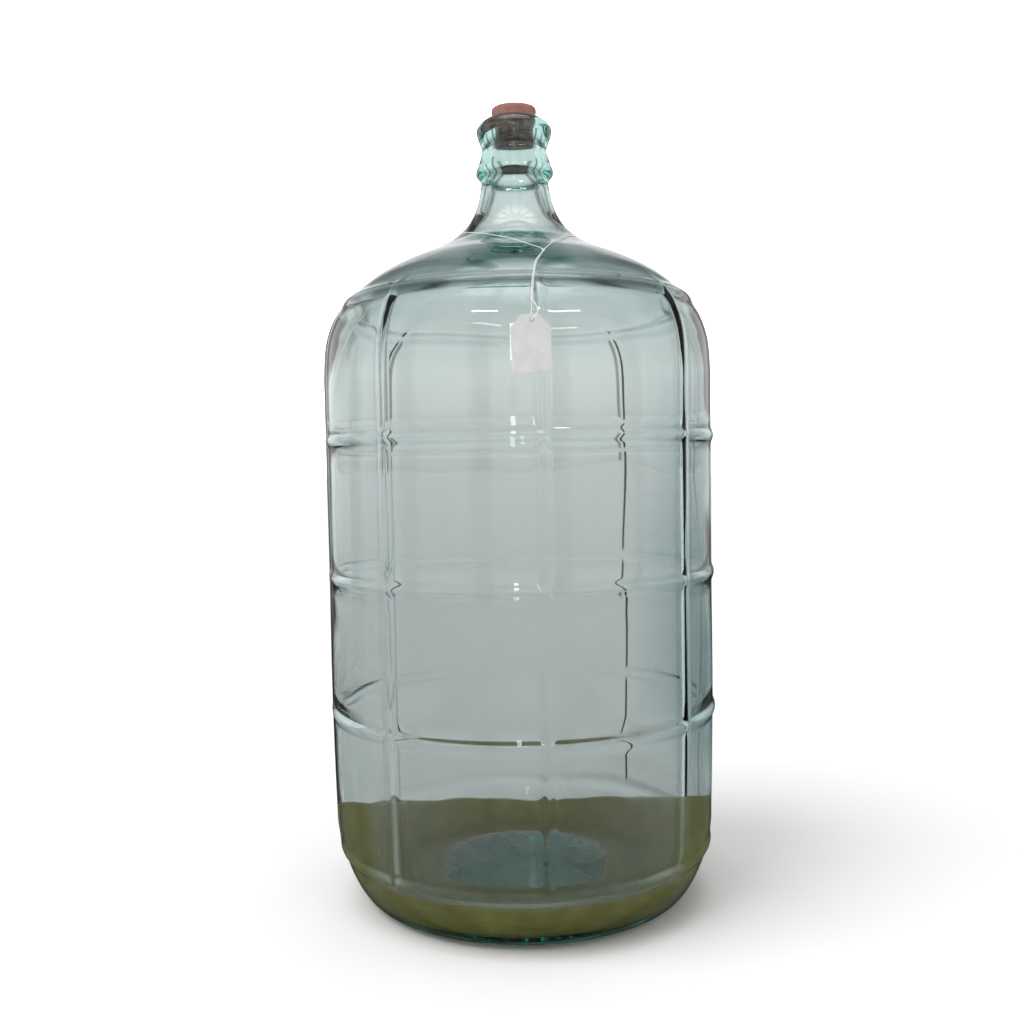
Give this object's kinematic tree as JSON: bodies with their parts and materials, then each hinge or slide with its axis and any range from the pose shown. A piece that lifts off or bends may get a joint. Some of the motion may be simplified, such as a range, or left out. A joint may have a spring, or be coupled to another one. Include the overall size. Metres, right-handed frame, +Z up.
{
  "type": "glass carboy",
  "caption": "Large narrow-necked glass bottle with raised hoops and uprights, a tapered rubber bung in its mouth and a card tag on a string round its neck.",
  "frame": {"origin": "middle of the base, on the surface that the bottle stands on", "axes": "+Z up along the bottle's axis, -Y towards the front where the tag hangs, +X to the right"},
  "size_m": [0.2732, 0.2755, 0.5565],
  "materials": {
    "glass": "pale blue-green moulded bottle glass, clear",
    "rubber": "matt reddish-brown rubber",
    "card": "uncoated white card",
    "cotton": "thin white twisted cotton"
  },
  "bodies": {
    "bottle": {"bottle": "glass", "neck_string": "cotton"},
    "bung": {"bung": "rubber"},
    "tag": {"tag": "card", "tag_loop": "cotton"}
  },
  "joints": [
    {"name": "bung_pull", "type": "slide", "parent": "bottle", "child": "bung", "axis": [0, 0, 1], "range_m": [0, 0.06]},
    {"name": "tag_swing", "type": "hinge", "parent": "bottle", "child": "tag", "pos_m": [0.008, -0.1307, 0.405], "axis": [0, -1, 0], "range_deg": [-45, 45]}
  ]
}
